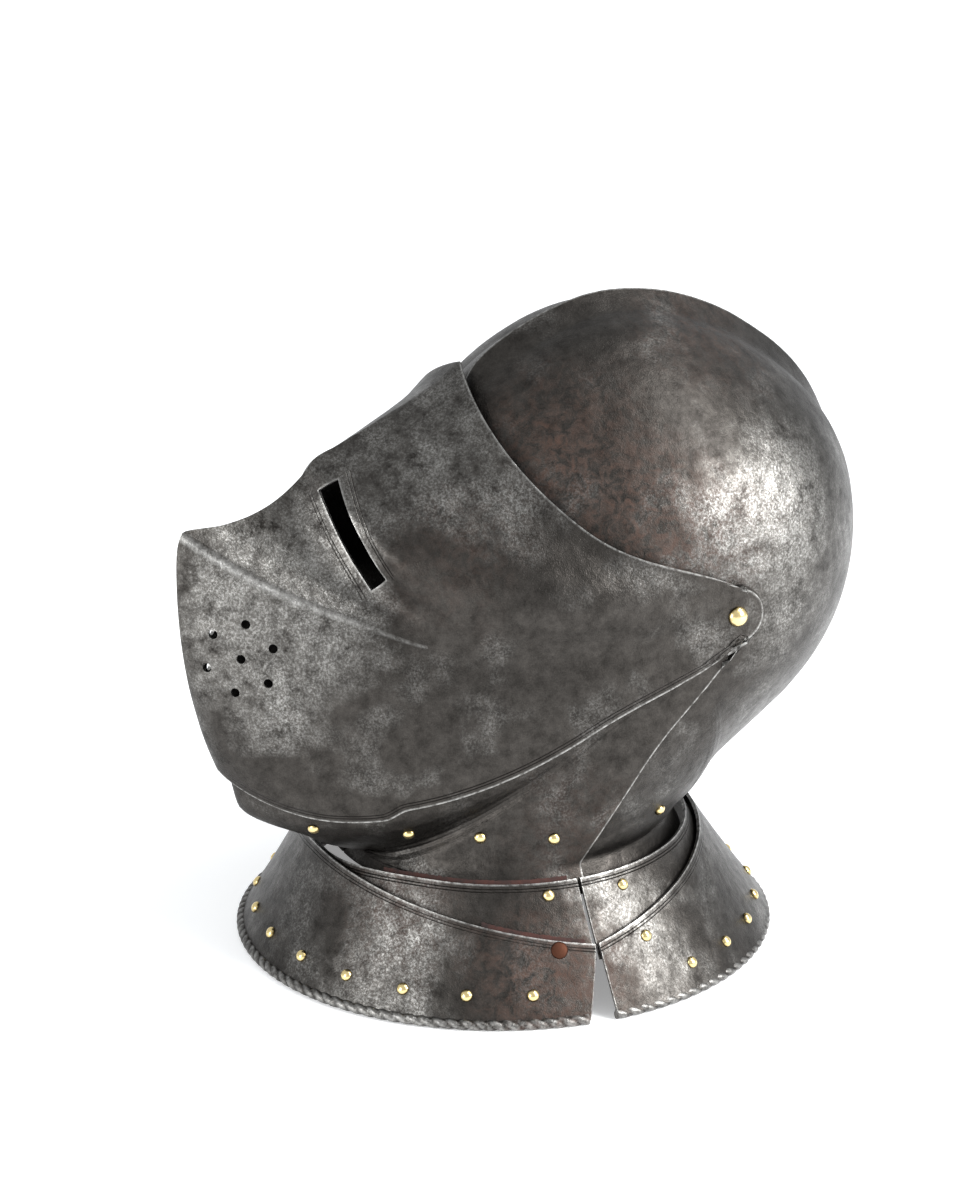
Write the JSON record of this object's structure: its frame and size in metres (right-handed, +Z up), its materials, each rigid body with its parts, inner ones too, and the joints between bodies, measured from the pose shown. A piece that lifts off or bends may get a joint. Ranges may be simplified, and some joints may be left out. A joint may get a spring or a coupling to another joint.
{
  "type": "cavalry helmet",
  "caption": "Close helmet of dark steel: a combed skull, a pointed visor with sights and breaths, a bevor and a flared gorget with a roped rim; visor and bevor turn on one pair of pivots.",
  "frame": {"origin": "middle of the outline at the level of the roped rim", "axes": "+Z up, the face toward -Y, +X toward the wearer's left side"},
  "size_m": [0.2416, 0.3242, 0.2952],
  "materials": {
    "dark_steel": "blackened, rubbed bright in places",
    "brass": "aged",
    "copper": "dull copper",
    "red_leather": "worn"
  },
  "bodies": {
    "skull": {"skull": "dark_steel", "rear_upper_lame": "dark_steel", "rear_lower_lame": "dark_steel", "pivot_rivet_left": "brass", "pivot_rivet_right": "brass", "skull_rivet_1_left": "brass", "skull_rivet_1_right": "brass", "skull_rivet_2_left": "brass", "skull_rivet_2_right": "brass", "skull_rivet_middle": "brass", "rear_rim_rivet_middle": "brass", "rear_rim_rivet_1_left": "brass", "rear_rim_rivet_1_right": "brass", "rear_rim_rivet_2_left": "brass", "rear_rim_rivet_2_right": "brass", "rear_rim_rivet_3_left": "brass", "rear_rim_rivet_3_right": "brass", "rear_rim_rivet_4_left": "brass", "rear_rim_rivet_4_right": "brass", "rear_rim_rivet_5_left": "brass", "rear_rim_rivet_5_right": "brass", "rear_upper_lame_rivet_left": "brass", "rear_upper_lame_rivet_right": "brass", "rear_lower_lame_rivet_left": "brass", "rear_lower_lame_rivet_right": "brass"},
    "bevor": {"bevor": "dark_steel", "front_upper_lame": "dark_steel", "front_lower_lame": "dark_steel", "front_upper_leather_left": "red_leather", "front_lower_leather_left": "red_leather", "front_upper_leather_right": "red_leather", "front_lower_leather_right": "red_leather", "bevor_rivet_1_left": "brass", "bevor_rivet_1_right": "brass", "bevor_rivet_2_left": "brass", "bevor_rivet_2_right": "brass", "bevor_rivet_3_left": "brass", "bevor_rivet_3_right": "brass", "bevor_rivet_4_left": "brass", "bevor_rivet_4_right": "brass", "front_rim_rivet_middle": "brass", "front_rim_rivet_1_left": "brass", "front_rim_rivet_1_right": "brass", "front_rim_rivet_2_left": "brass", "front_rim_rivet_2_right": "brass", "front_rim_rivet_3_left": "brass", "front_rim_rivet_3_right": "brass", "front_rim_rivet_4_left": "brass", "front_rim_rivet_4_right": "brass", "front_rim_rivet_5_left": "brass", "front_rim_rivet_5_right": "brass", "front_upper_lame_rivet_left": "brass", "front_upper_lame_rivet_right": "brass", "front_lower_lame_rivet_left": "copper", "front_lower_lame_rivet_right": "brass"},
    "visor": {"visor": "dark_steel"}
  },
  "joints": [
    {"name": "bevor_hinge", "type": "hinge", "parent": "skull", "child": "bevor", "pos_m": [0, 0.06141, 0.171], "axis": [-1, 0, 0], "range_deg": [0, 40]},
    {"name": "visor_hinge", "type": "hinge", "parent": "bevor", "child": "visor", "pos_m": [0, 0.06141, 0.171], "axis": [-1, 0, 0], "range_deg": [0, 55]}
  ]
}
